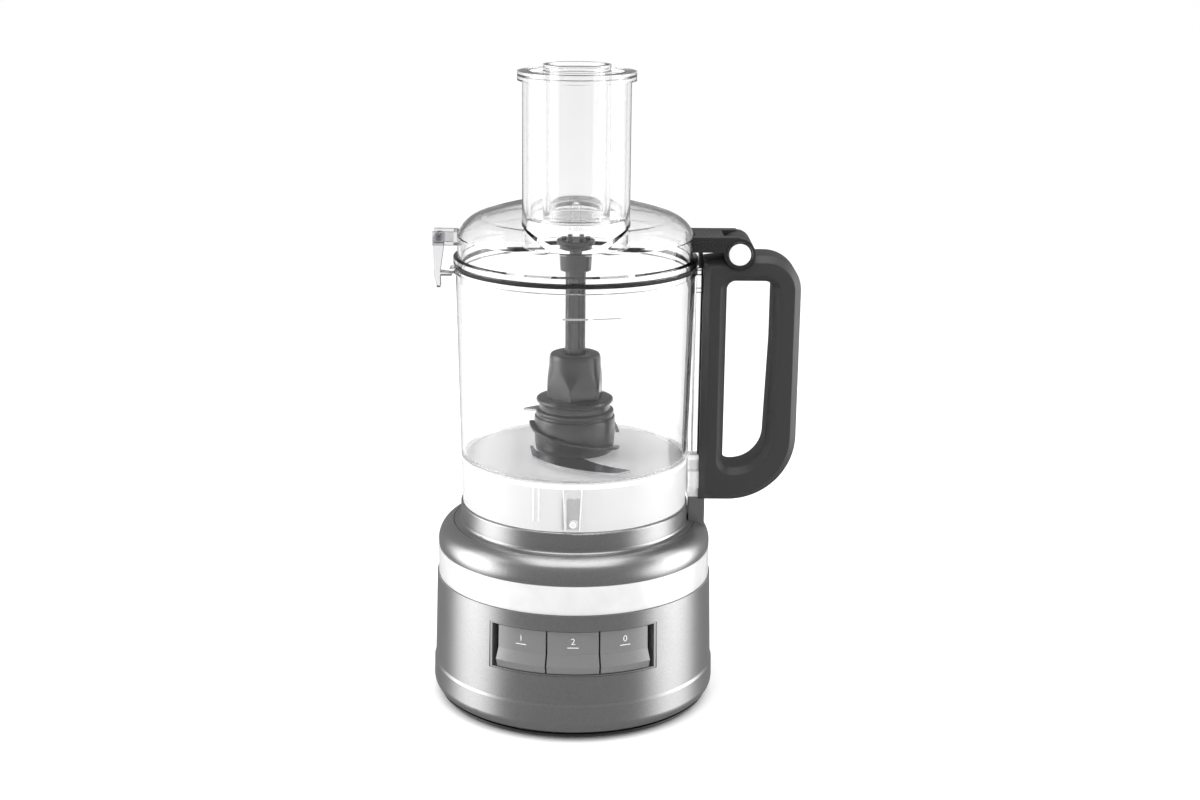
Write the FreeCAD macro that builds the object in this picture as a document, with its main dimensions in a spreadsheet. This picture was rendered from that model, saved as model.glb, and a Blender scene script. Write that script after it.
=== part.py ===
"""Countertop food processor with a clear bowl, a hinged lid and a belt-driven base.

Millimetres, +Z up. The origin is on the drive spindle's axis, in the plane of the bench. The bowl's
handle is towards +X and the buttons face -Y. Every size lives in the sheet called sizes.
"""
import FreeCAD, Part
import math
import os
import re
import Sketcher

V = FreeCAD.Vector

SIZES = [
    # housing
    ("base_radius", 98.8, "widest radius of the housing, just above its rounded foot"),
    ("base_wall", 3.0, "wall of the housing and of the covers on it"),
    ("housing_low", 4.0, "height of the housing's lower edge over the bench"),
    ("housing_corner", 9.0, "radius that rounds the housing's lower edge"),
    ("lip_width", 9.0, "width of the lip that the bottom plate screws to"),
    ("skirt_height", 25.0, "height of the crease above the skirt"),
    ("skirt_step", 0.9, "how far the skirt stands out below the crease"),
    ("waist_radius", 95.9, "radius of the housing just under the band"),
    ("foot_width", 10.0, "width of the rubber ring that the base stands on"),
    ("foot_height", 1.8, "height of that ring below the bottom plate"),
    ("inlet_height", 24.0, "height of the cord inlet"),
    ("inlet_radius", 5.0, "radius of the cord inlet's neck"),
    ("inlet_bore", 3.3, "radius of the bore for the cord"),
    ("inlet_length", 18.0, "length of the inlet's bush"),
    ("screw_radius", 1.6, "radius of the small screws' shanks"),
    ("foot_circle", 74.0, "middle radius of that ring"),
    # band, shoulder and deck
    ("band_low", 89.1, "height of the band's lower edge"),
    ("band_height", 20.1, "height of the bright band"),
    ("band_radius", 94.9, "outer radius of the band"),
    ("band_thick", 2.0, "thickness of the band"),
    ("shoulder_radius", 94.5, "radius of the shoulder cover at the band"),
    ("shoulder_curve", 14.6, "radius of the shoulder's convex profile"),
    ("seam_radius", 84.4, "radius of the seam between shoulder and deck"),
    ("seam_height", 126.5, "height of that seam"),
    ("neck_radius", 79.0, "radius of the neck that carries the bowl"),
    ("neck_fillet", 2.5, "radius of the fillet at the foot of the neck"),
    ("deck_height", 141.0, "height of the deck that the bowl stands on"),
    ("hub_radius", 20.0, "outer radius of the bearing tube in the deck"),
    ("hub_rise", 17.0, "rise of the bearing tube over the deck"),
    ("hub_drop", 27.0, "drop of the bearing tube below the deck"),
    ("tower_place", 79.6, "inner face of the interlock tower"),
    ("tower_depth", 11.4, "depth of the tower along X"),
    ("tower_width", 16.0, "width of the tower along Y"),
    ("tower_low", 118.0, "height of the tower's lower end"),
    ("tower_high", 143.6, "height of the tower's top"),
    ("switch_gap", 8.0, "room for the plunger's spring over the switch"),
    ("fit_gap", 0.4, "clearance between parts that move or come off"),
    ("run_gap", 0.05, "radial running clearance of a shaft in its bearing"),
    # buttons
    ("panel_low", 46.6, "lower edge of the button opening"),
    ("panel_high", 79.2, "upper edge of the button opening"),
    ("panel_angle", 71.0, "angle that the button opening covers"),
    ("panel_radius", 96.6, "radius of the bezel's front edge"),
    ("panel_wall", 1.0, "wall of the bezel around the buttons"),
    ("button_angle", 20.9, "angle that one button covers"),
    ("button_pitch", 21.6, "angle from one button to the next"),
    ("button_back", 89.5, "radius of a button's back"),
    ("button_face", 94.2, "radius of a button's label face"),
    ("button_nose", 97.4, "radius of a button's ledge"),
    ("board_width", 76.0, "width of the control board"),
    ("board_place", 70.0, "distance of the control board in front of the spindle"),
    ("tray_back", 86.0, "radius of the bezel's back wall on the button side"),
    # drive
    ("spindle_radius", 7.0, "radius of the bearings' bore for the spindle"),
    ("spindle_top", 198.0, "height of the spindle's upper end"),
    ("drive_flats", 11.4, "width across the flats of the spindle's hexagon"),
    ("bearing_radius", 11.0, "outer radius of a spindle bearing"),
    ("bearing_height", 8.0, "height of a spindle bearing"),
    ("motor_offset", 54.0, "distance of the motor's axis behind the spindle"),
    ("stator_radius", 31.0, "radius of the stator's laminations"),
    ("rotor_radius", 17.0, "radius of the armature"),
    ("rotor_gap", 0.8, "air gap between armature and stator"),
    ("stack_low", 51.0, "height of the lamination stack's lower face"),
    ("stack_height", 34.0, "height of the lamination stack"),
    ("motor_shaft", 4.0, "radius of the motor bearings' bore"),
    ("motor_bearing", 8.0, "outer radius of a motor bearing"),
    ("brush_radius", 10.0, "radius of the commutator"),
    ("pulley_level", 22.0, "height of the belt's middle"),
    ("belt_width", 8.0, "width of the drive belt"),
    ("belt_thick", 2.0, "thickness of the drive belt"),
    ("small_pulley", 9.0, "groove radius of the motor pulley"),
    ("large_pulley", 36.0, "groove radius of the spindle pulley"),
    # bowl
    ("bowl_low_radius", 77.7, "outer radius of the bowl at its foot"),
    ("bowl_top_radius", 81.3, "outer radius of the bowl under its rim"),
    ("bowl_wall", 2.6, "wall of the bowl"),
    ("bowl_floor", 174.0, "height of the floor inside the bowl"),
    ("bowl_rim", 306.0, "height of the bowl's rim"),
    ("rim_radius", 82.9, "outer radius of the bowl's rim"),
    ("chimney_bore", 13.0, "bore of the chimney in the bowl's floor"),
    ("chimney_wall", 3.0, "wall of the chimney"),
    ("chimney_rise", 31.0, "rise of the chimney over the floor"),
    ("rod_place", 83.5, "distance of the interlock rod from the spindle"),
    ("rod_radius", 2.4, "radius of the interlock rod"),
    ("rod_inner", 78.6, "inner face of the rod's channel"),
    ("screw_low", 158.0, "height of the lower handle screws"),
    ("screw_drop", -10.0, "rise of the upper handle screws over the bowl's rim"),
    ("rod_travel", 4.0, "travel of the rod as the lid opens"),
    # handle and hinge
    ("post_inner", 86.0, "inner face of the handle's post"),
    ("post_outer", 102.0, "window side of the handle's post"),
    ("grip_inner", 133.4, "window side of the grip"),
    ("grip_outer", 152.0, "outer side of the grip"),
    ("handle_low", 144.4, "height of the handle's lower end"),
    ("handle_rise", 9.8, "rise of the handle's top over the bowl's rim"),
    ("handle_thick", 34.0, "thickness of the handle along Y"),
    ("grip_sweep", 46.0, "radius of the big curve under the grip"),
    ("grip_corner", 24.0, "radius of the handle's upper outer corner"),
    ("window_rise", 23.1, "height of the finger gap over the handle's lower end"),
    ("window_drop", 17.4, "depth of the finger gap's top below the handle's top"),
    ("window_sweep", 22.0, "radius of the finger gap's big curve"),
    ("window_corner", 6.0, "radius of the finger gap's other corners"),
    ("handle_bevel", 4.5, "bevel along the handle's edges"),
    ("hinge_place", 109.4, "distance of the lid hinge from the spindle"),
    ("hinge_rise", 11.8, "rise of the lid hinge over the bowl's rim"),
    ("knuckle_radius", 10.4, "radius of the hinge knuckles"),
    ("lug_width", 21.6, "width of the handle's hinge lug"),
    ("arm_width", 40.0, "width of the lid's hinge arm"),
    ("pin_radius", 3.0, "radius of the hinge pin"),
    ("cap_radius", 8.7, "radius of the white caps on the hinge pin"),
    ("cap_thick", 1.8, "thickness of a cap"),
    # lid
    ("flange_rise", 2.6, "rise of the lid's flange over the bowl's rim"),
    ("lid_radius", 80.2, "outer radius of the lid's upright wall"),
    ("dome_start", 21.0, "rise of the dome's start over the bowl's rim"),
    ("dome_rise", 46.0, "rise of the dome's middle over the bowl's rim"),
    ("lid_wall", 2.6, "wall of the lid"),
    ("post_radius", 5.0, "outer radius of the lid's centre post"),
    # chute and pushers
    ("chute_offset", 44.0, "distance of the chute in front of the spindle"),
    ("chute_radius", 35.1, "outer radius of the feed chute"),
    ("chute_wall", 2.3, "wall of the chute"),
    ("chute_start", 21.5, "rise of the chute's lower end over the bowl's rim"),
    ("chute_rise", 131.0, "rise of the chute's mouth over the bowl's rim"),
    ("chute_lip", 38.3, "radius of the chute's lip"),
    ("pusher_wall", 2.0, "wall of the pushers"),
    ("pusher_start", 40.0, "rise of the pushers' lower ends over the bowl's rim"),
    ("pusher_flange", 3.0, "thickness of the large pusher's flange"),
    ("cup_radius", 19.8, "outer radius of the small pusher"),
    ("cup_rise", 138.5, "rise of the small pusher's lip over the bowl's rim"),
    # blade unit
    ("drum_radius", 28.5, "radius of the blade hub's drum"),
    ("drum_low", 175.8, "height of the drum's lower end"),
    ("drum_high", 212.0, "height of the drum's upper end"),
    ("collar_high", 245.6, "height of the hub collar's top"),
    ("sleeve_low", 168.0, "lower end of the shaft's sleeve"),
    ("shaft_radius", 7.0, "radius of the fluted shaft"),
    ("crown_drop", -3.0, "rise of the shaft crown's lower end over the bowl's rim"),
    ("crown_radius", 13.5, "radius of the shaft's crown"),
    ("crown_rise", 20.0, "rise of the crown's teeth over the bowl's rim"),
    ("blade_reach", 70.0, "reach of a blade from the spindle"),
    ("blade_thick", 1.6, "thickness of a blade"),
    # latch
    ("latch_place", 92.5, "distance of the latch pin from the spindle"),
    ("latch_rise", 19.0, "rise of the latch pin over the bowl's rim"),
    ("latch_drop", -15.0, "rise of the latch lever's tip over the bowl's rim"),
    ("latch_inner", 78.0, "inner end of the latch bracket before the lid's wall cuts it"),
    ("ear_width", 3.5, "width of one ear of the latch bracket"),
    ("latch_width", 18.0, "width of the latch lever"),
]

# heights that follow the bowl's rim
HEIGHTS = {
    "handle_top": "(bowl_rim + handle_rise)",
    "hinge_height": "(bowl_rim + hinge_rise)",
    "lid_low": "(bowl_rim + flange_rise)",
    "lid_shoulder": "(bowl_rim + dome_start)",
    "lid_apex": "(bowl_rim + dome_rise)",
    "chute_low": "(bowl_rim + chute_start)",
    "chute_top": "(bowl_rim + chute_rise)",
    "pusher_low": "(bowl_rim + pusher_start)",
    "cup_top": "(bowl_rim + cup_rise)",
    "crown_low": "(bowl_rim + crown_drop)",
    "crown_top": "(bowl_rim + crown_rise)",
    "latch_height": "(bowl_rim + latch_rise)",
    "latch_low": "(bowl_rim + latch_drop)",
    "screw_high": "(bowl_rim + screw_drop)",
}

doc = FreeCAD.newDocument("food_processor")
sheet = doc.addObject("Spreadsheet::Sheet", "sizes")
for row, (alias, number, note) in enumerate(SIZES, 1):
    sheet.set("A%d" % row, alias)
    sheet.set("B%d" % row, str(number))
    sheet.set("C%d" % row, note)
    sheet.setAlias("B%d" % row, alias)
doc.recompute()

NODES = []
SCREW_CIRCLE = "(base_radius - housing_corner - lip_width / 2)"


# ---- small helpers --------------------------------------------------------------------------------

def cell(text):
    """Turn a formula of aliases and heights into one that reads the sheet."""
    spelled = re.sub(r"[a-z]+_[a-z_]+", lambda name: HEIGHTS.get(name.group(0), name.group(0)), str(text))
    return re.sub(r"[a-z]+_[a-z_]+", lambda name: "sizes." + name.group(0), spelled)


def size(text):
    """Value of a formula of aliases."""
    return float(sheet.evalExpression(cell(text)))


def node(name, thing):
    """Name a finished sub-part and list it for export."""
    thing.Label = name
    NODES.append(thing)
    return thing


def part_body(name):
    """New PartDesign body."""
    return doc.addObject("PartDesign::Body", name)


def plane(body, role):
    """One of the body's own origin planes or axes."""
    return next(item for item in body.Origin.OriginFeatures if item.Role == role)


def bend(start, end, radius):
    """Arc between two points: a positive radius bulges to the right of the way from start to end."""
    chord = end - start
    side = V(chord.y, -chord.x, 0).normalize() * (1 if radius > 0 else -1)
    rise = math.sqrt(max(radius ** 2 - (chord.Length / 2) ** 2, 0))
    centre = (start + end) * 0.5 - side * rise
    angles = [math.atan2(p.y - centre.y, p.x - centre.x) for p in (start, end)]
    if radius < 0:
        angles.reverse()
    return Part.ArcOfCircle(Part.Circle(centre, V(0, 0, 1), abs(radius)), angles[0], angles[1])


def outline(body, name, role, points, arcs=None, level=None):
    """Closed outline on an origin plane, every corner tied to the sheet.

    points holds pairs of formulas. arcs gives the radius of the arc that leaves a point, as a formula
    and a sign: +1 bulges to the right of the way round, -1 to the left. level lifts the plane.
    """
    arcs = arcs or {}
    sketch = body.newObject("Sketcher::SketchObject", name)
    sketch.AttachmentSupport = [(plane(body, role), "")]
    sketch.MapMode = "FlatFace"
    if level is not None:
        sketch.setExpression("AttachmentOffset.Base.z", cell(level))
    corners = [V(size(x), size(y), 0) for x, y in points]
    begins = []
    for i, corner in enumerate(corners):
        after = corners[(i + 1) % len(corners)]
        if i in arcs:
            formula, sign = arcs[i]
            sketch.addGeometry(bend(corner, after, sign * size(formula)))
            begins.append(1 if sign > 0 else 2)
        else:
            sketch.addGeometry(Part.LineSegment(corner, after))
            begins.append(1)
    for i, (x, y) in enumerate(points):
        after = (i + 1) % len(points)
        sketch.addConstraint(Sketcher.Constraint("Coincident", i, 3 - begins[i], after, begins[after]))
        for kind, formula in (("DistanceX", x), ("DistanceY", y)):
            rule = Sketcher.Constraint(kind, -1, 1, i, begins[i], size(formula))
            tie = sketch.addConstraint(rule)
            sketch.setExpression("Constraints[%d]" % tie, cell(formula))
        if i in arcs:
            tie = sketch.addConstraint(Sketcher.Constraint("Radius", i, size(arcs[i][0])))
            sketch.setExpression("Constraints[%d]" % tie, cell(arcs[i][0]))
    return sketch


def feature(body, kind, sketch, **settings):
    """Add a sketch-based feature; a setting given as text is a formula."""
    thing = body.newObject("PartDesign::" + kind, "%s_%s" % (sketch.Name, kind.lower()))
    thing.Profile = sketch
    if kind in ("Revolution", "Groove"):
        thing.ReferenceAxis = (sketch, ["V_Axis"])
    for name, value in settings.items():
        if isinstance(value, str):
            thing.setExpression(name, cell(value))
        else:
            setattr(thing, name, value)
    return thing


def lathe(name, points, arcs=None):
    """Body turned about Z from an outline in radius and height."""
    body = part_body(name)
    feature(body, "Revolution", outline(body, name + "_profile", "XZ_Plane", points, arcs), Angle="360")
    return body


def ring(name, outer, inner, low, high):
    """Plain ring or, with an inner radius of 0, a disc."""
    return lathe(name, [(inner, low), (outer, low), (outer, high), (inner, high)])


def sector(name, points, angle, turn="0"):
    """Body turned through an angle, centred on -Y and then turned about Z."""
    body = part_body(name)
    profile = outline(body, name + "_profile", "YZ_Plane", [("-(%s)" % r, z) for r, z in points])
    feature(body, "Revolution", profile, Angle=angle, Midplane=True)
    body.setExpression("Placement.Rotation.Angle", cell(turn))
    return body


def place(thing, x="0", y="0", z="0"):
    """Tie a primitive's position to the sheet."""
    for axis, formula in (("x", x), ("y", y), ("z", z)):
        thing.setExpression("Placement.Base." + axis, cell(formula))
    return thing


def cylinder(name, radius, height, x="0", y="0", z="0", axis=V(0, 0, 1)):
    """Cylinder that starts at a point and runs along an axis."""
    thing = doc.addObject("Part::Cylinder", name)
    thing.setExpression("Radius", cell(radius))
    thing.setExpression("Height", cell(height))
    thing.Placement = FreeCAD.Placement(V(), FreeCAD.Rotation(V(0, 0, 1), axis))
    return place(thing, x, y, z)


def box(name, lengths, x, y, z):
    """Box from its lowest corner."""
    thing = doc.addObject("Part::Box", name)
    for side, formula in zip(("Length", "Width", "Height"), lengths):
        thing.setExpression(side, cell(formula))
    return place(thing, x, y, z)


def cut(name, base, tool):
    """Base minus tool."""
    thing = doc.addObject("Part::Cut", name)
    thing.Base = base
    thing.Tool = tool
    return thing


def fuse(name, *things):
    """One solid from several that touch."""
    thing = doc.addObject("Part::MultiFuse", name)
    thing.Shapes = list(things)
    thing.Refine = True
    return thing


def common(name, *things):
    """What several solids share."""
    thing = doc.addObject("Part::MultiCommon", name)
    thing.Shapes = list(things)
    return thing


def group(name, things):
    """Separate solids in one node."""
    thing = doc.addObject("Part::Compound", name)
    thing.Links = list(things)
    return thing


def formed(name, shape):
    """Sub-part whose shape Part's own functions make."""
    thing = doc.addObject("Part::Feature", name)
    thing.Shape = shape
    return thing


def spring(radius, wire, length, turns, start, axis):
    """Closed solid of a coil spring from start along axis."""
    helix = Part.makeHelix(length / turns, length, radius)
    section = Part.Wire(Part.makeCircle(wire, V(radius, 0, 0), V(0, 1, 0)))
    coil = Part.Wire(helix.Edges).makePipeShell([section], True, True)
    coil.Placement = FreeCAD.Placement(start, FreeCAD.Rotation(V(0, 0, 1), axis))
    return coil


def around(radius, count, start=0):
    """Angles and XY places, as formulas, of things spaced evenly round a circle."""
    for i in range(count):
        angle = start + 360 * i / count
        yield "%s * cos(%g)" % (radius, angle), "%s * sin(%g)" % (radius, angle)


# ---- housing --------------------------------------------------------------------------------------

def base_housing():
    """Painted drum with a rounded foot, a skirt crease, the button opening and the inlet's hole."""
    lip = "base_radius - housing_corner - lip_width"
    neck = "band_radius - band_thick"
    shell = lathe("housing_shell", [
        (lip, "housing_low"),
        ("base_radius - housing_corner", "housing_low"),
        ("base_radius", "housing_low + housing_corner"),
        ("base_radius - 0.3", "skirt_height"),
        ("base_radius - skirt_step - 0.3", "skirt_height + skirt_step * 2"),
        ("waist_radius", "band_low"),
        (neck, "band_low"),
        (neck, "band_low + band_height"),
        (neck + " - base_wall", "band_low + band_height"),
        (neck + " - base_wall", "band_low - base_wall"),
        ("waist_radius - base_wall", "band_low - base_wall"),
        ("waist_radius - base_wall", "housing_low + base_wall"),
        (lip, "housing_low + base_wall"),
    ], {1: ("housing_corner", 1)})
    opening = sector("button_opening", [
        ("waist_radius * 0.8", "panel_low"), ("base_radius * 1.1", "panel_low"),
        ("base_radius * 1.1", "panel_high"), ("waist_radius * 0.8", "panel_high")], "panel_angle")
    inlet = cylinder("inlet_hole", "inlet_radius", "base_radius", "0", "base_radius * 0.5",
                     "inlet_height", V(0, 1, 0))
    holes = [inlet]
    for i, (x, y) in enumerate(around(SCREW_CIRCLE, 4)):
        holes.append(cylinder("lip_hole_%d" % i, "screw_radius", "base_wall", x, y, "housing_low"))
    node("base_housing", cut("housing_drilled", cut("housing_front", shell, opening), fuse("housing_holes", *holes)))


def bottom_plate():
    """Black plate that closes the housing from below, bored for its screws."""
    edge = "base_radius - housing_corner * 0.5"
    plate = lathe("plate_disc", [
        ("0", "foot_height"), (edge + " - 1", "foot_height"), (edge, "foot_height + 1"),
        (edge, "housing_low"), ("0", "housing_low")])
    holes = []
    for i, (x, y) in enumerate(around(SCREW_CIRCLE, 4)):
        holes.append(cylinder("plate_hole_%d" % i, "screw_radius", "housing_low", x, y, "0"))
    node("bottom_plate", cut("plate_cut", plate, fuse("plate_holes", *holes)))


def foot_ring():
    """Rubber ring under the bottom plate that the object stands on."""
    node("foot_ring", ring("foot_rubber", "foot_circle + foot_width / 2", "foot_circle - foot_width / 2",
                           "0", "foot_height"))


def base_screws():
    """Screws that hold the bottom plate up to the housing's lip, heads below."""
    screws = []
    for i, (x, y) in enumerate(around(SCREW_CIRCLE, 4)):
        shank = cylinder("base_shank_%d" % i, "screw_radius", "housing_low - foot_height + base_wall", x, y,
                         "foot_height")
        head = cylinder("base_head_%d" % i, "screw_radius * 2", "1", x, y, "foot_height - 1")
        screws.append(fuse("base_screw_%d" % i, shank, head))
    node("base_screws", group("base_screw_group", screws))


def trim_band():
    """Bright ring that wraps the housing's neck."""
    node("trim_band", ring("band_ring", "band_radius", "band_radius - band_thick", "band_low + 0.2",
                           "band_low + band_height"))


def tower_clearance():
    """Box that clears the interlock tower out of the covers."""
    return box("tower_clearance", ["tower_depth", "tower_width", "deck_height"],
               "tower_place", "-tower_width / 2", "tower_low")


def shoulder_cover():
    """Convex painted cover from the band up to the seam."""
    low = "band_low + band_height"
    shell = lathe("shoulder_shell", [
        ("shoulder_radius - base_wall", low), ("shoulder_radius", low), ("seam_radius", "seam_height"),
        ("seam_radius - 0.6", "seam_height - base_wall"),
    ], {1: ("shoulder_curve", 1), 3: ("shoulder_curve - base_wall", -1)})
    node("shoulder_cover", cut("shoulder_cut", shell, tower_clearance()))


def bowl_deck():
    """Deck with the neck that centres the bowl and the tube that holds the spindle's bearings."""
    low = "seam_height - base_wall"
    shell = lathe("deck_shell", [
        ("bearing_radius", "deck_height - hub_drop"), ("hub_radius", "deck_height - hub_drop"),
        ("hub_radius", "deck_height - base_wall"),
        ("neck_radius - base_wall", "deck_height - base_wall"),
        ("neck_radius - base_wall", low), ("seam_radius - 0.9", low),
        ("seam_radius - 0.4", "seam_height"), ("neck_radius + neck_fillet", "seam_height"),
        ("neck_radius", "seam_height + neck_fillet"), ("neck_radius", "deck_height - neck_fillet / 2"),
        ("neck_radius - neck_fillet / 2", "deck_height"), ("hub_radius", "deck_height"),
        ("hub_radius", "deck_height + hub_rise"), ("bearing_radius", "deck_height + hub_rise"),
    ], {7: ("neck_fillet", -1), 9: ("neck_fillet / 2", 1)})
    slot = box("deck_slot", ["tower_depth", "tower_width", "deck_height"],
               "tower_place", "-tower_width / 2", "tower_low")
    node("bowl_deck", cut("deck_cut", shell, slot))


def interlock():
    """Tower beside the neck, its plunger and return spring, and the switch that the plunger works."""
    tall = "tower_high - tower_low"
    block = box("tower_block", ["tower_depth - fit_gap", "tower_width - fit_gap", tall],
                "tower_place + fit_gap / 2", "-(tower_width - fit_gap) / 2", "tower_low")
    bore = cylinder("tower_bore", "rod_radius + fit_gap", tall, "rod_place", "0", "tower_low")
    node("interlock_tower", cut("tower_cut", block, bore))
    pin = cylinder("plunger_pin", "rod_radius", "handle_low - fit_gap - tower_low", "rod_place", "0", "tower_low")
    collar = cylinder("plunger_collar", "rod_radius + 1.4", "1.2", "rod_place", "0", "tower_low - rod_travel - 1.2")
    stem = cylinder("plunger_stem", "rod_radius * 0.6", "rod_travel", "rod_place", "0", "tower_low - rod_travel")
    node("interlock_plunger", fuse("plunger", pin, stem, collar))
    length = size("switch_gap")
    start = V(size("rod_place"), 0, size("tower_low - rod_travel - 1.2 - switch_gap") + 0.4)
    node("plunger_spring", formed("plunger_coil", spring(2.2, 0.35, length - 0.8, 5, start, V(0, 0, 1))))
    top = "tower_low - rod_travel - 1.2 - switch_gap"
    case = box("switch_case", ["12", "9", "9"], "rod_place - 7", "-4.5", top + " - 9")
    node("interlock_switch", case)


def cord_gland():
    """Bush of the cord inlet, without a cord."""
    end = "base_radius + 2.6"
    back = V(0, 1, 0)
    body = cylinder("gland_tube", "inlet_radius - 0.05", "inlet_length", "0", end + " - inlet_length",
                    "inlet_height", back)
    flange = cylinder("gland_flange", "inlet_radius * 1.5", "2.5", "0", end + " - 2.5", "inlet_height", back)
    bore = cylinder("gland_bore", "inlet_bore", "inlet_length * 2", "0", end + " - inlet_length * 1.5",
                    "inlet_height", back)
    node("cord_gland", cut("gland_cut", fuse("gland_solid", body, flange), bore))


# ---- buttons and electrics ------------------------------------------------------------------------

def button_bezel():
    """Black tray that lines the button opening and stands behind the buttons."""
    block = sector("bezel_block", [
        ("tray_back - 1.5", "panel_low + 0.1"), ("panel_radius", "panel_low + 0.1"),
        ("panel_radius - 0.7", "panel_high - 0.1"), ("tray_back - 1.5", "panel_high - 0.1")],
        "panel_angle - 0.1")
    room = sector("bezel_room", [
        ("tray_back", "panel_low + panel_wall"), ("base_radius * 1.1", "panel_low + panel_wall"),
        ("base_radius * 1.1", "panel_high - panel_wall"), ("tray_back", "panel_high - panel_wall")],
        "panel_angle - 2.4")
    node("button_bezel", cut("bezel_cut", block, room))


def button(name, turn):
    """One button: a label face, a ledge that slopes outwards and a bevel under it."""
    low = "panel_low + panel_wall + fit_gap"
    high = "panel_high - panel_wall - fit_gap"
    body = sector(name + "_key", [
        ("button_back", low), ("button_nose - 1.6", low), ("button_nose", low + " + 5.4"),
        ("button_face", low + " + 13"), ("button_face - 0.4", high + " - 1"), ("button_face - 1.4", high),
        ("button_back", high)], "button_angle", turn)
    node(name, body)


def buttons():
    """Low, high and pulse buttons, their springs and the switches behind the tray."""
    switches = []
    middle = size("panel_low + panel_high") / 2
    for name, step in (("low", -1), ("high", 0), ("pulse", 1)):
        button(name + "_button", "button_pitch * %d" % step)
        angle = math.radians(size("button_pitch") * step - 90)
        out = V(math.cos(angle), math.sin(angle), 0)
        length = size("button_back - tray_back") - 0.9
        start = out * (size("tray_back") + 0.45) + V(0, 0, middle)
        node(name + "_spring", formed(name + "_coil", spring(3.0, 0.4, length, 2.5, start, out)))
        switch = Part.makeBox(6, 12, 8, V(-7.9, -6, middle - 4))
        switch.Placement = FreeCAD.Placement(out * size("tray_back"), FreeCAD.Rotation(V(1, 0, 0), out))
        switches.append(switch)
    node("button_switches", formed("switch_cases", Part.Compound(switches)))


def control_board():
    """Circuit board across the inside of the panel, with its relay and capacitor."""
    board = box("board", ["board_width", "1.6", "34"], "-board_width / 2", "-board_place", "panel_low")
    relay = box("relay", ["15", "11", "19"], "-28", "-board_place + 1.6", "panel_low + 8")
    can = cylinder("capacitor", "6", "18", "20", "-board_place + 1.6", "panel_low + 17", V(0, 1, 0))
    node("control_board", fuse("board_stack", board, relay, can))


# ---- motor and drive ------------------------------------------------------------------------------

def motor_frame():
    """Lower bracket on four legs and the end cap over the stator, with their bearings."""
    plate_low = "stack_low - 13"
    hole = "motor_bearing"
    disc = cylinder("bracket_disc", "stator_radius + 4", "4", "0", "motor_offset", plate_low)
    legs = []
    for i, (x, y) in enumerate((("-34", "motor_offset - 14"), ("34", "motor_offset - 14"),
                                ("-22", "motor_offset + 18"), ("22", "motor_offset + 18"))):
        legs.append(cylinder("leg_%d" % i, "4", plate_low + " + 4 - housing_low", x, y, "housing_low"))
    bore = cylinder("bracket_bore", hole, "20", "0", "motor_offset", plate_low + " - 5")
    node("motor_bracket", cut("bracket_cut", fuse("bracket_solid", disc, *legs), bore))
    top = "stack_low + stack_height"
    cap = cylinder("cap_disc", "stator_radius", "4", "0", "motor_offset", top + " + 16")
    posts = []
    for i, (x, y) in enumerate(around("(stator_radius - 3)", 4, 45)):
        posts.append(cylinder("cap_post_%d" % i, "2.5", "16", x, "motor_offset + " + y, top))
        posts.append(cylinder("stack_post_%d" % i, "2.5", "9", x, "motor_offset + " + y, plate_low + " + 4"))
    upper = fuse("cap_solid", cap, *posts[0::2])
    cap_bore = cylinder("cap_bore", hole, "20", "0", "motor_offset", top + " + 8")
    node("motor_end_cap", cut("cap_cut", upper, cap_bore))
    node("motor_spacers", group("spacers", posts[1::2]))
    races = []
    for i, level in enumerate((plate_low, top + " + 16")):
        outer = cylinder("race_%d" % i, hole, "4", "0", "motor_offset", level)
        inner = cylinder("race_bore_%d" % i, "motor_shaft", "4", "0", "motor_offset", level)
        races.append(cut("motor_race_%d" % i, outer, inner))
    node("motor_bearings", group("motor_races", races))


def stator():
    """Lamination stack, its two coils and the pair of brushes on the commutator."""
    stack = cylinder("stack", "stator_radius", "stack_height", "0", "motor_offset", "stack_low")
    flats = box("stack_flats", ["stator_radius * 2", "stator_radius * 1.7", "stack_height"],
                "-stator_radius", "motor_offset - stator_radius * 0.85", "stack_low")
    bore = cylinder("stack_bore", "rotor_radius + rotor_gap", "stack_height", "0", "motor_offset", "stack_low")
    node("motor_stator", cut("stator_cut", common("stator_block", stack, flats), bore))
    coils = []
    for i, level in enumerate(("stack_low - 4", "stack_low + stack_height")):
        outer = cylinder("coil_%d" % i, "stator_radius - 6", "4", "0", "motor_offset", level)
        inner = cylinder("coil_bore_%d" % i, "rotor_radius + rotor_gap + 1", "4", "0", "motor_offset", level)
        coils.append(cut("coil_ring_%d" % i, outer, inner))
    node("stator_windings", group("windings", coils))
    brushes = []
    for i, x in enumerate(("brush_radius + 0.3", "-brush_radius - 11.3")):
        brushes.append(box("brush_%d" % i, ["11", "5", "5"], x, "motor_offset - 2.5",
                           "stack_low + stack_height + 7"))
    node("carbon_brushes", group("brushes", brushes))


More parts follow.
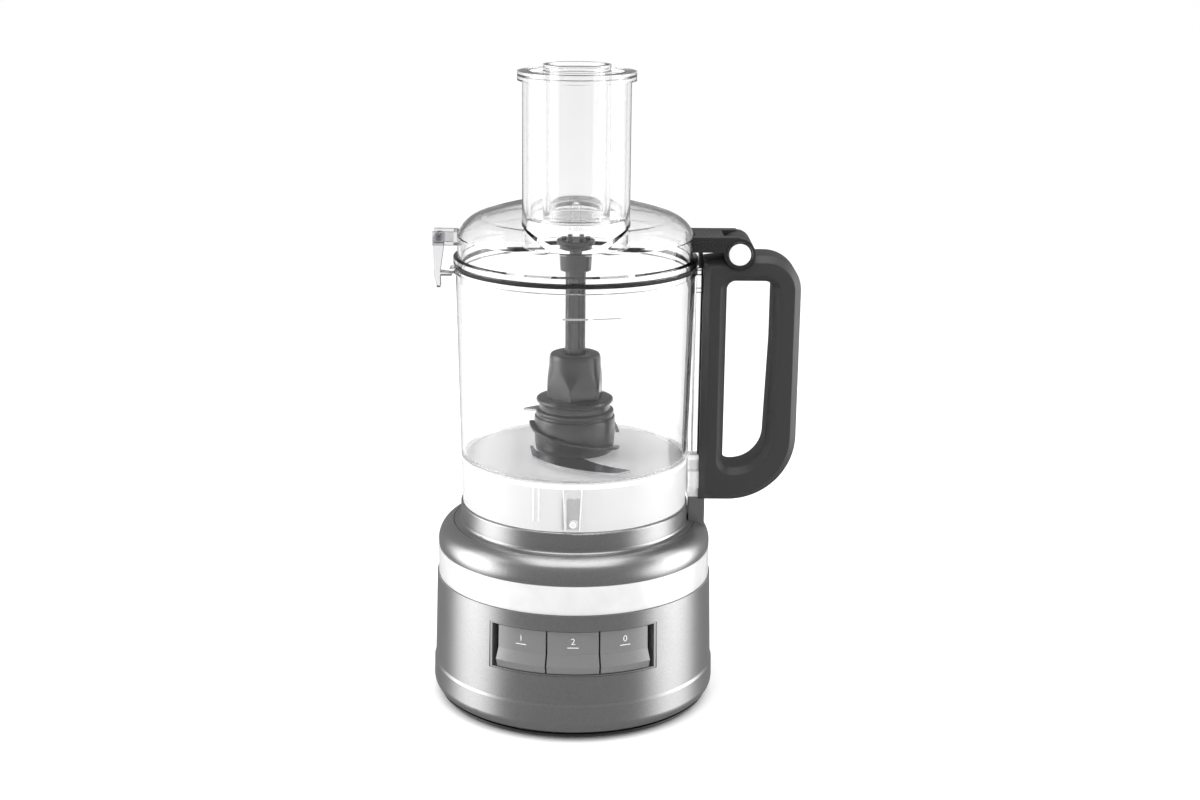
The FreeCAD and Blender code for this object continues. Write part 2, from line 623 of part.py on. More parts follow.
def rotor():
    """Motor shaft with its armature, commutator, fan and small pulley."""
    top = "stack_low + stack_height"
    axis = {"x": "0", "y": "motor_offset"}
    node("motor_shaft", cylinder("motor_rod", "motor_shaft - run_gap", top + " + 23 - 12", z="12", **axis))
    def sleeve(name, radius, low, high):
        outer = cylinder(name + "_outer", radius, "%s - (%s)" % (high, low), z=low, **axis)
        bore = cylinder(name + "_bore", "motor_shaft - run_gap", "%s - (%s)" % (high, low), z=low, **axis)
        return cut(name + "_sleeve", outer, bore)
    node("armature", sleeve("armature", "rotor_radius", "stack_low + 1", top + " - 1"))
    node("commutator", sleeve("commutator", "brush_radius", top + " + 4", top + " + 14"))
    hub = sleeve("fan", "8", "stack_low - 8.4", "stack_low - 4.8")
    blades = []
    for i in range(8):
        blade = doc.addObject("Part::Box", "fan_blade_%d" % i)
        blade.setExpression("Length", cell("stator_radius - 13"))
        blade.setExpression("Width", "1")
        blade.setExpression("Height", "3.6")
        blade.Placement.Rotation = FreeCAD.Rotation(V(0, 0, 1), 45 * i)
        turn = math.radians(45 * i)
        place(blade, "7 * %.6f" % math.cos(turn), "motor_offset + 7 * %.6f" % math.sin(turn), "stack_low - 8.4")
        blades.append(blade)
    node("cooling_fan", fuse("fan_wheel", hub, *blades))
    node("motor_pulley", pulley("motor_pulley", "small_pulley", "motor_shaft - run_gap", "motor_offset"))


def pulley(name, groove, bore, y):
    """Pulley with a groove for the belt and a flange on each side of it."""
    half = "belt_width / 2 + 0.4"
    rim = groove + " + belt_thick + 0.6"
    low = "pulley_level - (%s)" % half
    high = "pulley_level + (%s)" % half
    wheel = lathe(name + "_wheel", [
        (bore, low + " - 1.6"), (rim, low + " - 1.6"), (rim, low), (groove, low), (groove, high),
        (rim, high), (rim, high + " + 1.6"), (bore, high + " + 1.6")])
    return place(wheel, "0", y)


def drive_belt():
    """Belt round both pulleys, just clear of their grooves."""
    offset = size("motor_offset")

    def loop(extra):
        large = size("large_pulley") + extra
        small = size("small_pulley") + extra
        lean = math.asin((large - small) / offset)
        right = V(math.cos(lean), math.sin(lean), 0)
        left = V(-math.cos(lean), math.sin(lean), 0)
        away = V(0, offset, 0)
        edges = [
            Part.Arc(left * large, V(0, -large, 0), right * large).toShape(),
            Part.makeLine(right * large, away + right * small),
            Part.Arc(away + right * small, V(0, offset + small, 0), away + left * small).toShape(),
            Part.makeLine(away + left * small, left * large),
        ]
        return Part.Face(Part.Wire(edges))

    gap = 0.3
    flat = loop(gap + size("belt_thick")).cut(loop(gap))
    belt = flat.extrude(V(0, 0, size("belt_width")))
    belt.translate(V(0, 0, size("pulley_level - belt_width / 2")))
    node("drive_belt", formed("belt", belt))


def hexagon(name, across, low, high):
    """Hexagonal prism on the spindle's axis."""
    prism = doc.addObject("Part::Prism", name)
    prism.Polygon = 6
    prism.setExpression("Circumradius", cell("(%s) / sqrt(3)" % across))
    prism.setExpression("Height", cell("%s - (%s)" % (high, low)))
    return place(prism, z=low)


def spindle():
    """Spindle with a hexagonal top, its large pulley and its two bearings."""
    neck = "deck_height + hub_rise + 3"
    rod = cylinder("spindle_rod", "spindle_radius - run_gap", neck + " - 12", z="12")
    tip = hexagon("spindle_tip", "drive_flats", neck, "spindle_top")
    node("drive_spindle", fuse("spindle_solid", rod, tip))
    node("spindle_pulley", pulley("spindle_pulley", "large_pulley", "spindle_radius - run_gap", "0"))
    low = ring("bearing_low", "bearing_radius", "spindle_radius", "deck_height - hub_drop",
               "deck_height - hub_drop + bearing_height")
    high = ring("bearing_high", "bearing_radius", "spindle_radius",
                "deck_height + hub_rise - bearing_height", "deck_height + hub_rise")
    node("spindle_bearings", group("bearings", [low, high]))


# ---- bowl and handle ------------------------------------------------------------------------------

def bowl():
    """Clear bowl: a skirt over the deck, a floor with a chimney, a tapered wall and a rim."""
    low = "deck_height + fit_gap"
    under = "bowl_floor - bowl_wall"
    chimney = "bowl_floor + chimney_rise"
    shell = lathe("bowl_shell", [
        ("bowl_low_radius - bowl_wall", low), ("bowl_low_radius", low),
        ("bowl_top_radius", "bowl_rim - 4"), ("rim_radius", "bowl_rim - 3"), ("rim_radius", "bowl_rim"),
        ("bowl_top_radius - bowl_wall", "bowl_rim"), ("bowl_low_radius - 1.6", "bowl_floor + 4"),
        ("bowl_low_radius - 5.6", "bowl_floor"), ("chimney_bore + chimney_wall", "bowl_floor"),
        ("chimney_bore + chimney_wall", chimney), ("chimney_bore", chimney), ("chimney_bore", under),
        ("bowl_low_radius - bowl_wall", under),
    ], {6: ("4", -1)})
    channel = box("rod_channel", ["post_inner - rod_inner", "15", "bowl_rim - handle_low"],
                  "rod_inner", "-7.5", "handle_low")
    pads = []
    for i, level in enumerate(("screw_low", "screw_high")):
        pads.append(box("pad_%d" % i, ["post_inner - rod_inner", "handle_thick - handle_bevel * 2", "12"],
                        "rod_inner", "handle_bevel - handle_thick / 2", level + " - 6"))
    ribs = []
    for i, side in enumerate((-1, 1)):
        ribs.append(box("rib_%d" % i, ["1.6", "2", "26"], "5.6 * %d - 0.8" % side,
                        "-(bowl_low_radius + 1.4)", low + " + 2"))
    boss = cylinder("fill_boss", "3", "3", "0", "-(bowl_low_radius + 1.2)", low + " + 6", V(0, 1, 0))
    ledge = box("latch_ledge", ["5", "latch_width - 4", "3"], "-(rim_radius + 2.5)",
                "-(latch_width - 4) / 2", "bowl_rim - 5")
    solid = fuse("bowl_solid", shell, channel, boss, ledge, *(pads + ribs))
    well = cylinder("rod_well", "rod_radius + fit_gap", "bowl_rim", "rod_place", "0", "deck_height")
    node("bowl", cut("bowl_cut", solid, well))


def handle():
    """Dark handle: a flat loop with bevelled edges, relieved round the hinge knuckles."""
    body = part_body("handle_loop")
    profile = outline(body, "handle_profile", "XZ_Plane", [
        ("post_inner", "handle_low"), ("grip_outer - grip_sweep", "handle_low"),
        ("grip_outer", "handle_low + grip_sweep"), ("grip_outer", "handle_top - grip_corner"),
        ("grip_outer - grip_corner", "handle_top"), ("hinge_place + 6", "handle_top"),
        ("post_inner", "handle_top - 4"),
    ], {1: ("grip_sweep", 1), 3: ("grip_corner", 1)})
    pad = feature(body, "Pad", profile, Length="handle_thick", Midplane=True)
    low = "handle_low + window_rise"
    high = "handle_top - window_drop"
    hole = outline(body, "window_profile", "XZ_Plane", [
        ("post_outer + window_corner", low), ("post_outer + window_corner + 1", low),
        ("post_outer + window_corner + 1 + window_sweep", low + " + window_sweep"),
        ("grip_inner", low + " + (%s - (%s)) * 0.672" % (high, low)), ("grip_inner", high + " - window_corner"),
        ("grip_inner - window_corner", high), ("post_outer + window_corner", high),
        ("post_outer", high + " - window_corner"), ("post_outer", low + " + window_corner"),
    ], {1: ("window_sweep", 1), 4: ("window_corner", 1), 6: ("window_corner", 1), 8: ("window_corner", 1)})
    pocket = feature(body, "Pocket", hole, Length="handle_thick * 2", Midplane=True)
    doc.recompute()
    faces = [i for i, face in enumerate(pocket.Shape.Faces, 1)
             if abs(face.CenterOfMass.y) > size("handle_thick") / 2 - 0.01]
    bevel = body.newObject("PartDesign::Chamfer", "handle_edges")
    bevel.Base = (pocket, ["Face%d" % i for i in faces])
    bevel.setExpression("Size", cell("handle_bevel"))
    lug = cylinder("handle_lug", "knuckle_radius", "lug_width", "hinge_place", "-lug_width / 2",
                   "hinge_height", V(0, 1, 0))
    sides = []
    for i, side in enumerate(("lug_width / 2", "-lug_width / 2 - handle_thick")):
        sides.append(cylinder("relief_%d" % i, "knuckle_radius + fit_gap * 2", "handle_thick", "hinge_place",
                              side, "hinge_height", V(0, 1, 0)))
    solid = cut("handle_relieved", fuse("handle_solid", body, lug), fuse("reliefs", *sides))
    bore = cylinder("lug_bore", "pin_radius", "lug_width", "hinge_place", "-lug_width / 2",
                    "hinge_height", V(0, 1, 0))
    holes = fuse("handle_holes", bore, *[screw("hole", i) for i in range(4)])
    node("handle", cut("handle_cut", solid, holes))
    node("handle_screws", group("screws", [screw("screw", i) for i in range(4)]))


def screw(prefix, index):
    """Handle screw from the window side of the post into the bowl's pad, or its hole."""
    name = "%s_%d" % (prefix, index)
    y = "9.5 * %d" % (1 if index % 2 else -1)
    z = "screw_high" if index > 1 else "screw_low"
    shank = cylinder(name + "_shank", "screw_radius", "post_outer - post_inner", "post_inner", y, z, V(1, 0, 0))
    head = cylinder(name + "_head", "screw_radius * 2", "2.4", "post_outer - 2.4", y, z, V(1, 0, 0))
    return fuse(name, shank, head)


def hinge_pin():
    """Steel pin through the lug and the arm's ears, with a white cap on each end."""
    node("hinge_pin", cylinder("pin", "pin_radius", "arm_width - 2", "hinge_place", "-(arm_width - 2) / 2",
                               "hinge_height", V(0, 1, 0)))
    caps = []
    for i, side in enumerate(("arm_width / 2", "-arm_width / 2 - cap_thick")):
        caps.append(cylinder("cap_%d" % i, "cap_radius", "cap_thick", "hinge_place", side,
                             "hinge_height", V(0, 1, 0)))
    node("hinge_caps", group("caps", caps))


def interlock_rod():
    """Rod in the bowl's channel that carries the lid's movement down to the plunger."""
    node("interlock_rod", cylinder("rod", "rod_radius", "bowl_rim - 1 - handle_low", "rod_place", "0", "handle_low"))


# ---- blade unit -----------------------------------------------------------------------------------

def blade_hub():
    """Dark hub: a grooved drum over the chimney and a faceted collar round the shaft."""
    room = "chimney_bore + chimney_wall + 1"
    ceiling = "bowl_floor + chimney_rise + 2"
    drum = lathe("hub_drum", [
        (room, "drum_low"), ("drum_radius - 1", "drum_low"), ("drum_radius", "drum_low + 2"),
        ("drum_radius", "drum_high - 12"), ("drum_radius - 1", "drum_high - 11"),
        ("drum_radius - 1", "drum_high - 9"), ("drum_radius", "drum_high - 8"),
        ("drum_radius", "drum_high - 4"), ("drum_radius - 2", "drum_high - 1"),
        ("drum_radius - 2", "drum_high + 3"), ("18", "drum_high + 4"), ("18", "drum_high + 8"),
        ("shaft_radius", "drum_high + 8"), ("shaft_radius", ceiling), (room, ceiling)])
    facets = doc.addObject("Part::Prism", "hub_facets")
    facets.Polygon = 6
    facets.Circumradius = 20.5
    facets.setExpression("Height", cell("collar_high - drum_high - 5"))
    place(facets, z="drum_high + 4")
    cone = lathe("hub_cone", [
        ("shaft_radius", "drum_high + 3"), ("19.5", "drum_high + 3"), ("19.5", "drum_high + 18"),
        ("17.6", "drum_high + 20"), ("17.6", "collar_high - 1.5"), ("16.1", "collar_high"),
        ("shaft_radius", "collar_high")])
    node("blade_hub", fuse("hub_solid", drum, common("hub_collar", facets, cone)))


def blade(name, level, turn):
    """One curved steel blade that grows from a ring round the drum."""
    body = part_body(name + "_steel")
    reach = "blade_reach"
    profile = outline(body, name + "_profile", "XY_Plane", [
        ("-16", "-(drum_radius - 2)"), ("6", "-(drum_radius + 8)"), (reach, "-8"),
        (reach + " - 2", "4"), ("24", "-10"), ("16", "10"),
    ], {1: (reach, 1), 3: (reach, -1)}, level)
    feature(body, "Pad", profile, Length="blade_thick")
    body.Placement.Rotation = FreeCAD.Rotation(V(0, 0, 1), turn)
    core = cylinder(name + "_core", "drum_radius", "blade_thick", z=level)
    return cut(name, body, core)


def blades():
    """Lower and upper blade on opposite sides, each moulded into the hub at its root."""
    node("lower_blade", blade("lower_blade_cut", "drum_low + 1.2", -60))
    node("upper_blade", blade("upper_blade_cut", "drum_low + 13", 120))


def drive_shaft():
    """Fluted shaft that drops over the spindle through a hexagonal socket."""
    rod = cylinder("shaft_rod", "shaft_radius", "crown_low + 6 - spindle_top", z="spindle_top")
    flutes = []
    for i, (x, y) in enumerate(around("(shaft_radius + 0.6)", 6)):
        flutes.append(cylinder("flute_%d" % i, "1.6", "(crown_low - collar_high) * 0.86", x, y,
                               "collar_high + (crown_low - collar_high) * 0.07"))
    sleeve = cylinder("shaft_sleeve", "chimney_bore - 1", "spindle_top + 4 - sleeve_low", z="sleeve_low")
    socket = hexagon("socket", "drive_flats + fit_gap * 2", "sleeve_low - 1", "spindle_top + 1")
    solid = cut("shaft_fluted", fuse("shaft_solid", rod, sleeve), fuse("flutes", *flutes))
    node("drive_shaft", cut("shaft_cut", solid, socket))


def shaft_crown():
    """Collar at the shaft's top with a crown of teeth that drives the slicing discs."""
    collar = lathe("crown_collar", [
        ("0", "crown_low + 6"), ("shaft_radius", "crown_low + 6"), ("shaft_radius", "crown_low"),
        ("crown_radius - 3", "crown_low"), ("crown_radius - 2", "crown_top - 6"),
        ("crown_radius", "crown_top - 5"), ("crown_radius", "crown_top - 2.4"),
        ("0", "crown_top - 2.4")])
    teeth = []
    for i, (x, y) in enumerate(around("(crown_radius - 5)", 6)):
        teeth.append(cylinder("tooth_%d" % i, "1.8", "2.4 + 1", x, y, "crown_top - 3.4"))
    node("shaft_crown", fuse("crown", collar, *teeth))


# ---- lid and pushers ------------------------------------------------------------------------------

def lid():
    """Clear lid: a flange, an upright wall, a dome, a centre post and the feed chute."""
    wall = "lid_wall"
    shell = lathe("lid_shell", [
        ("lid_radius - " + wall, "lid_low"), ("rim_radius", "lid_low"), ("rim_radius", "lid_low + 4"),
        ("lid_radius", "lid_low + 5"), ("lid_radius", "lid_shoulder"),
        ("lid_radius - 15", "lid_apex - 11"), ("0", "lid_apex"), ("0", "lid_apex - " + wall),
        ("lid_radius - 16", "lid_apex - 11 - " + wall), ("lid_radius - " + wall, "lid_shoulder - 0.4"),
    ], {4: ("22", 1), 5: ("200", 1), 7: ("200", -1), 8: ("20", -1)})
    place_chute = {"x": "0", "y": "-chute_offset"}
    tube = cylinder("chute_tube", "chute_radius", "chute_top - chute_low", z="chute_low", **place_chute)
    lip = cylinder("chute_lip_ring", "chute_lip", "2.5", z="chute_top - 2.5", **place_chute)
    post = cylinder("lid_post", "post_radius", "lid_apex - 1 - crown_top - 5", z="crown_top + 5")
    solid = fuse("lid_solid", shell, tube, lip, post)
    bore = cylinder("chute_bore", "chute_radius - chute_wall", "chute_top", z="lid_low", **place_chute)
    inside = cylinder("post_bore", "post_radius - 1.5", "40", z="crown_top")
    node("lid", cut("lid_cut", solid, fuse("lid_bores", bore, inside)))


def lid_seal():
    """Black seal ring under the lid's flange."""
    node("lid_seal", ring("seal_ring", "rim_radius - 0.8", "bowl_top_radius - bowl_wall - 1",
                          "bowl_rim + 0.3", "lid_low"))


def hinge_arm():
    """Dark arm on the lid's wall: a block, two ears round the hinge pin and a foot for the rod."""
    half = "arm_width / 2"
    high = "hinge_height + knuckle_radius + 0.6"
    block = box("arm_block", ["hinge_place - lid_radius - knuckle_radius + 4", "arm_width",
                              high + " - (hinge_height + 1)"],
                "lid_radius - 4", "-" + half, "hinge_height + 1")
    ears = []
    for i, side in enumerate(("lug_width / 2 + 0.3", "-" + half)):
        wide = "arm_width / 2 - lug_width / 2 - 0.3"
        ears.append(cylinder("ear_%d" % i, "knuckle_radius", wide, "hinge_place", side, "hinge_height",
                             V(0, 1, 0)))
        ears.append(box("ear_web_%d" % i, ["knuckle_radius + 6", wide, "knuckle_radius + 0.6 - 1"],
                        "hinge_place - knuckle_radius - 6", side, "hinge_height + 1"))
    foot = box("arm_foot", ["2.4", "10", "hinge_height + 3 - bowl_rim"], "rim_radius + 0.4", "-5", "bowl_rim")
    solid = fuse("arm_solid", block, foot, *ears)
    lid_side = cylinder("arm_seat", "lid_radius", "60", z="hinge_height - 20")
    bore = cylinder("arm_bore", "pin_radius + run_gap", "arm_width", "hinge_place", "-" + half,
                    "hinge_height", V(0, 1, 0))
    node("hinge_arm", cut("arm_cut", solid, fuse("arm_tools", lid_side, bore)))


def latch():
    """Clear latch lever between its bracket's ears, its pin and the torsion spring on the pin."""
    half = "latch_width / 2"
    parts = [box("latch_web", ["lid_radius + 2.2 - latch_inner", "latch_width", "9"], "-lid_radius - 2.2",
                 "-" + half, "latch_height - 4.5")]
    for i, y in enumerate((half + " - ear_width", "-" + half)):
        parts.append(box("latch_ear_%d" % i, ["latch_place + 4 - latch_inner", "ear_width", "9"],
                         "-latch_place - 4", y, "latch_height - 4.5"))
    wall = cylinder("latch_seat", "lid_radius", "60", z="latch_height - 30")
    hole = cylinder("latch_pin_bore", "1.5", "latch_width", "-latch_place", "-" + half, "latch_height",
                    V(0, 1, 0))
    node("latch_bracket", cut("bracket_seated", fuse("latch_bracket_solid", *parts), fuse("latch_voids", wall, hole)))
    body = part_body("latch_blade")
    profile = outline(body, "latch_profile", "XZ_Plane", [
        ("-latch_place - 4", "latch_height"), ("-latch_place - 3.4", "latch_low + 8"),
        ("-latch_place - 1.6", "latch_low"), ("-latch_place + 0.8", "latch_low"),
        ("-latch_place + 0.6", "bowl_rim - 7"), ("-(rim_radius + 1)", "bowl_rim - 7"),
        ("-(rim_radius + 1)", "bowl_rim - 5.4"), ("-latch_place + 0.6", "bowl_rim - 4.6"),
        ("-latch_place + 4", "latch_height"),
    ], {8: ("4.1", 1)})
    feature(body, "Pad", profile, Length="latch_width - 7.8", Midplane=True)
    bore = cylinder("latch_bore", "1.5 + run_gap", "latch_width", "-latch_place", "-latch_width / 2",
                    "latch_height", V(0, 1, 0))
    notch = box("latch_notch", ["10", "4.4", "12"], "-latch_place - 5", "-2.2", "latch_height - 4")
    node("latch_lever", cut("latch_cut", body, fuse("latch_tools", bore, notch)))
    node("latch_pin", cylinder("latch_axle", "1.5", "latch_width", "-latch_place", "-latch_width / 2",
                               "latch_height", V(0, 1, 0)))
    start = V(-size("latch_place"), -1.8, size("latch_height"))
    node("latch_spring", formed("latch_coil", spring(2.2, 0.3, 3.6, 3, start, V(0, 1, 0))))


def pushers():
    """Large pusher in the chute, hollow for the small pusher that slides inside it."""
    outer = "chute_radius - chute_wall - fit_gap"
    sleeve = "cup_radius + fit_gap"
    seat = "chute_top + 0.3"
    top = "chute_top + 0.3 + pusher_flange"
    floor = "pusher_low + pusher_wall"
    node("large_pusher", lathe("large_shell", [
        (sleeve, "pusher_low"), (outer, "pusher_low"), (outer, seat), ("chute_lip", seat),
        ("chute_lip", top), (outer + " - pusher_wall", top), (outer + " - pusher_wall", floor),
        (sleeve + " + pusher_wall", floor), (sleeve + " + pusher_wall", top), (sleeve, top)]))
    NODES[-1].setExpression("Placement.Base.y", cell("-chute_offset"))
    lip_low = "chute_top + pusher_flange + 0.6"
    node("small_pusher", lathe("small_shell", [
        ("0", "pusher_low"), ("cup_radius", "pusher_low"), ("cup_radius", lip_low),
        ("cup_radius + 2", lip_low), ("cup_radius + 2", "cup_top"),
        ("cup_radius - pusher_wall", "cup_top"),
        ("cup_radius - pusher_wall", "pusher_low + pusher_wall"), ("0", "pusher_low + pusher_wall")]))
    NODES[-1].setExpression("Placement.Base.y", cell("-chute_offset"))


# ---- build, check and write -----------------------------------------------------------------------

STEPS = (base_housing, bottom_plate, foot_ring, base_screws, trim_band, shoulder_cover, bowl_deck,
         interlock, cord_gland, button_bezel, buttons, control_board, motor_frame, stator, rotor,
         drive_belt, spindle, bowl, handle, hinge_pin, interlock_rod, blade_hub, blades, drive_shaft,
         shaft_crown, lid, lid_seal, hinge_arm, latch, pushers)
for step in STEPS:
    step()
doc.recompute()

failed = [item.Name for item in doc.Objects if {"Invalid", "Error"} & set(item.State)]
for item in NODES:
    if item.Shape.isNull() or not item.Shape.isValid() or item.Shape.Volume <= 0:
        failed.append(item.Label)
if failed:
    raise SystemExit("not sound: " + ", ".join(failed))

os.makedirs("parts", exist_ok=True)
for item in NODES:
    item.Shape.exportStep(os.path.join("parts", item.Label + ".step"))
    solids = len(item.Shape.Solids)
    print("%-20s %2d solid(s) %10.1f mm3" % (item.Label, solids, item.Shape.Volume))
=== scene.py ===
"""Countertop food processor: looks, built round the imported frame. Metres; the buttons face -Y."""
import math

import bpy
from mathutils import Matrix, Vector


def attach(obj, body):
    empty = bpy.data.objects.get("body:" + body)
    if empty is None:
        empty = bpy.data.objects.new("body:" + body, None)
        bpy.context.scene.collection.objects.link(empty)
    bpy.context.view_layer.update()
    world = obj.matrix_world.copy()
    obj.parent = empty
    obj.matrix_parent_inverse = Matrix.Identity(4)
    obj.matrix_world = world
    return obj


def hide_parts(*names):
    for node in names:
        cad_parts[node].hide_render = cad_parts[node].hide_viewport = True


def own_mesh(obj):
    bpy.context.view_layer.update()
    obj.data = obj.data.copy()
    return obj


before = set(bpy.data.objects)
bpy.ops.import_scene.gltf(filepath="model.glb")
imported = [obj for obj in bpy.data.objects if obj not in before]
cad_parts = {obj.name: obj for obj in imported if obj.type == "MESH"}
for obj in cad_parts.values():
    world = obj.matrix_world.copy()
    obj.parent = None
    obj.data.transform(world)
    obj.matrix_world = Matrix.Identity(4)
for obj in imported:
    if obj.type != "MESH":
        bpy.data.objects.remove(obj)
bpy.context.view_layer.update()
bpy.ops.object.select_all(action="DESELECT")


# ---- camera, floor and light ------------------------------------------------------------------------
# A camera a little over the bowl in front of the buttons, a sheet of white paper for the floor, and
# tall soft boxes and bright cards at both sides, for the two long highlights down the painted drum.

CAMERA_PLACE = Vector((0.0, -1.2613, 0.5467))
CAMERA_PITCH = math.radians(14.89)
CAMERA_ROLL = math.radians(0.41)
CAMERA_LENS = 56.64
CAMERA_SHIFT = 0.021
SENSOR_WIDTH = 36.0
CLEAR_BOUNCES = 32

camera_data = bpy.data.cameras.new("camera")
camera_data.lens = CAMERA_LENS
camera_data.sensor_width = SENSOR_WIDTH
camera_data.shift_x = CAMERA_SHIFT
camera = bpy.data.objects.new("camera", camera_data)
bpy.context.collection.objects.link(camera)
tilt = Matrix.Rotation(math.pi / 2 - CAMERA_PITCH, 4, "X") @ Matrix.Rotation(CAMERA_ROLL, 4, "Z")
camera.matrix_world = Matrix.Translation(CAMERA_PLACE) @ tilt
scene = bpy.context.scene
scene.camera = camera
scene.view_settings.view_transform = "Standard"
scene.cycles.max_bounces = CLEAR_BOUNCES
scene.cycles.transmission_bounces = CLEAR_BOUNCES
scene.cycles.transparent_max_bounces = CLEAR_BOUNCES
scene.cycles.glossy_bounces = 6
scene.cycles.caustics_refractive = True
scene.cycles.caustics_reflective = True


class Wires:
    """Wraps a socket so that shader maths reads as an expression."""

    def __init__(self, tree, socket=None):
        self.tree = tree
        self.socket = socket

    def node(self, kind, settings=None, **sockets):
        """Adds any other node: settings first, then the values or links of its sockets."""
        made = self.tree.nodes.new(kind)
        for name, value in (settings or {}).items():
            if name == "stops":
                ramp = made.color_ramp.elements
                while len(ramp) < len(value):
                    ramp.new(0.5)
                for stop, (place, tone) in zip(ramp, value):
                    stop.position = place
                    stop.color = (tone, tone, tone, 1.0)
            else:
                setattr(made, name, value)
        for name, value in sockets.items():
            key = int(name[1:]) if name[0] == "_" else name.replace("_", " ")
            self.plug(made.inputs[key], value)
        return made

    def plug(self, target, value):
        """Links another wire to a socket, or sets the socket to a plain value."""
        if isinstance(value, Wires):
            self.tree.links.new(value.socket, target)
        else:
            target.default_value = value

    def out(self, made, name=0):
        """Wraps one of a node's outputs."""
        return Wires(self.tree, made.outputs[name])

    def math(self, operation, first, second=0.0):
        """Adds a Math node."""
        return self.out(self.node("ShaderNodeMath", {"operation": operation}, _0=first, _1=second))

    def __add__(self, other):
        return self.math("ADD", self, other)

    def __sub__(self, other):
        return self.math("SUBTRACT", self, other)

    def __mul__(self, other):
        return self.math("MULTIPLY", self, other)

    __radd__ = __add__
    __rmul__ = __mul__

    def __rsub__(self, other):
        return self.math("SUBTRACT", other, self)


def surface(name, colour, roughness, **constants):
    """Material with a Principled shader: returns it, its wires and the shader."""
    material = bpy.data.materials.new(name)
    material.use_nodes = True
    shader = material.node_tree.nodes["Principled BSDF"]
    shader.inputs["Base Color"].default_value = (*colour, 1.0)
    shader.inputs["Roughness"].default_value = roughness
    for socket, value in constants.items():
        shader.inputs[socket.replace("_", " ")].default_value = value
    return material, Wires(material.node_tree), shader


def grain(wires, scale, detail=2.0):
    """Noise on the object's own coordinates."""
    here = wires.out(wires.node("ShaderNodeTexCoord"), "Object")
    return wires.out(wires.node("ShaderNodeTexNoise", Vector=here, Scale=scale, Detail=detail), "Fac")


def bump(wires, shader, height, strength, distance):
    """Feeds a height into the shader's normal."""
    made = wires.node("ShaderNodeBump", Height=height, Strength=strength, Distance=distance)
    wires.plug(shader.inputs["Normal"], wires.out(made, "Normal"))


GRAIN_CONTRAST = 0.12
GRAIN_RELIEF = 0.3


def moulded(name, colour, low, high, scale, depth, **constants):
    """Moulded or machined finish: a fine grain in the tone, the gloss and the surface."""
    material, wires, shader = surface(name, colour, (low + high) / 2, **constants)
    noise = grain(wires, scale)
    wires.plug(shader.inputs["Roughness"], low + noise * (high - low))
    darker = (*[tone * (1.0 - GRAIN_CONTRAST) for tone in colour], 1.0)
    lighter = (*[min(tone * (1.0 + GRAIN_CONTRAST), 1.0) for tone in colour], 1.0)
    mixed = wires.node("ShaderNodeMix", {"data_type": "RGBA"}, _0=noise, _6=darker, _7=lighter)
    wires.plug(shader.inputs["Base Color"], wires.out(mixed, 2))
    bump(wires, shader, noise, GRAIN_RELIEF, depth)
    return material


paper, wires, shader = surface("floor_paper", (1.0, 1.0, 1.0), 0.65)
shader.inputs["Specular IOR Level"].default_value = 0.0
wires.plug(shader.inputs["Roughness"], 0.6 + grain(wires, 9.0) * 0.12)

FLOOR_SIZE = 60.0
FLOOR_BEHIND = 10.0
bpy.ops.mesh.primitive_plane_add(size=FLOOR_SIZE, location=(0.0, FLOOR_BEHIND, 0.0))
floor = bpy.context.object
floor.name = "studio_floor"
floor.data.materials.append(paper)
floor.visible_glossy = False

# white all round; what gloss reflects is dim, with a bright card to the left and to the right
CARD_START = 0.78
CARD_END = 0.995
CARD_GAIN = 3.2
ROOM_DIMMING = 0.76
world = bpy.data.worlds.new("studio")
scene.world = world
world.use_nodes = True
sky = Wires(world.node_tree)
ray = sky.out(sky.node("ShaderNodeLightPath"), "Is Glossy Ray")
way = sky.out(sky.node("ShaderNodeTexCoord"), "Generated")
sideways = sky.math("ABSOLUTE", sky.out(sky.node("ShaderNodeSeparateXYZ", Vector=way), "X"))
cards = sky.out(sky.node("ShaderNodeMapRange", {"interpolation_type": "SMOOTHSTEP"}, _0=sideways,
                         _1=CARD_START, _2=CARD_END, _3=0.0, _4=1.0))
backdrop = world.node_tree.nodes["Background"]
sky.plug(backdrop.inputs["Strength"], 1.0 + ray * (cards * CARD_GAIN - ROOM_DIMMING))
backdrop.inputs["Color"].default_value = (1.0, 1.0, 1.0, 1.0)


LIGHT_AIM = Vector((0.0, 0.0, 0.2))


def soft_box(name, place, wide, tall, power):
    """Rectangular soft light that faces the middle of the object."""
    data = bpy.data.lights.new(name, "AREA")
    data.shape = "RECTANGLE"
    data.size = wide
    data.size_y = tall
    data.energy = power
    light = bpy.data.objects.new(name, data)
    bpy.context.collection.objects.link(light)
    light.location = place
    light.rotation_euler = (LIGHT_AIM - Vector(place)).to_track_quat("-Z", "Y").to_euler()


soft_box("left_box", (-1.2, -0.05, 0.5), 0.7, 1.5, 6.0)
soft_box("right_box", (1.2, 0.12, 0.5), 0.6, 1.5, 5.0)
soft_box("top_box", (0.0, -0.3, 1.8), 1.6, 1.2, 16.0)


# ---- painted base -----------------------------------------------------------------------------------
# Drum, shoulder, deck and interlock tower are moulded and sprayed with a satin silver paint that
# holds a fine metal flake.

def dress(material, *nodes):
    """Gives CAD nodes a material in every slot."""
    for name in nodes:
        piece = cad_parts[name]
        if not piece.data.materials:
            piece.data.materials.append(material)
        for slot in piece.material_slots:
            slot.material = material


